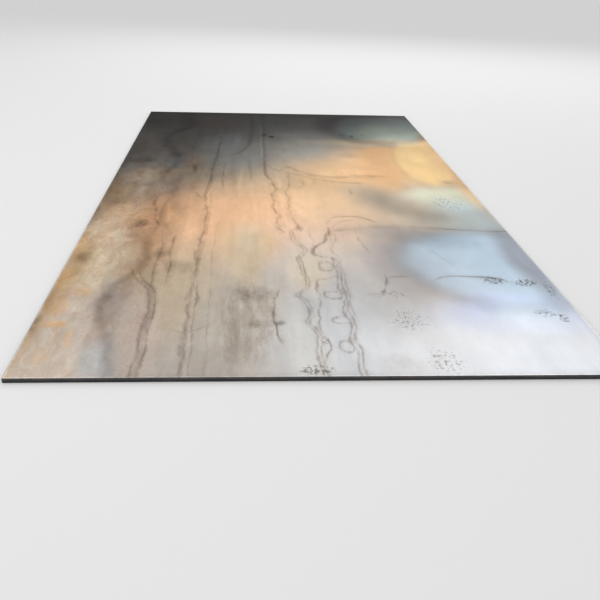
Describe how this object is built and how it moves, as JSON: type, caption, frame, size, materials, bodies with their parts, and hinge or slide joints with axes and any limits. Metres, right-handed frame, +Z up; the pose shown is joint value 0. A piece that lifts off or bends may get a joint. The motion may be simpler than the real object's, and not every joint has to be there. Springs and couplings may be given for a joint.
{
  "type": "steel plate",
  "caption": "Full stock-size rectangular hot-rolled steel plate with a heat-tinted, water-marked mill-scale face and square sheared edges, for cutting, welding or laying flat.",
  "frame": {"origin": "centre of the underside", "axes": "+Y along the length, which is the rolling direction, towards the back end; +X across the width; +Z up through the thickness, out of the tinted face"},
  "size_m": [1.5, 3, 0.012],
  "materials": {
    "mill_scale_steel": "as rolled: blue-grey mill scale with a soft sheen, straw, orange and blue heat tints, dried water tracks and a little rust"
  },
  "bodies": {
    "root": {"plate": "mill_scale_steel"}
  },
  "joints": []
}
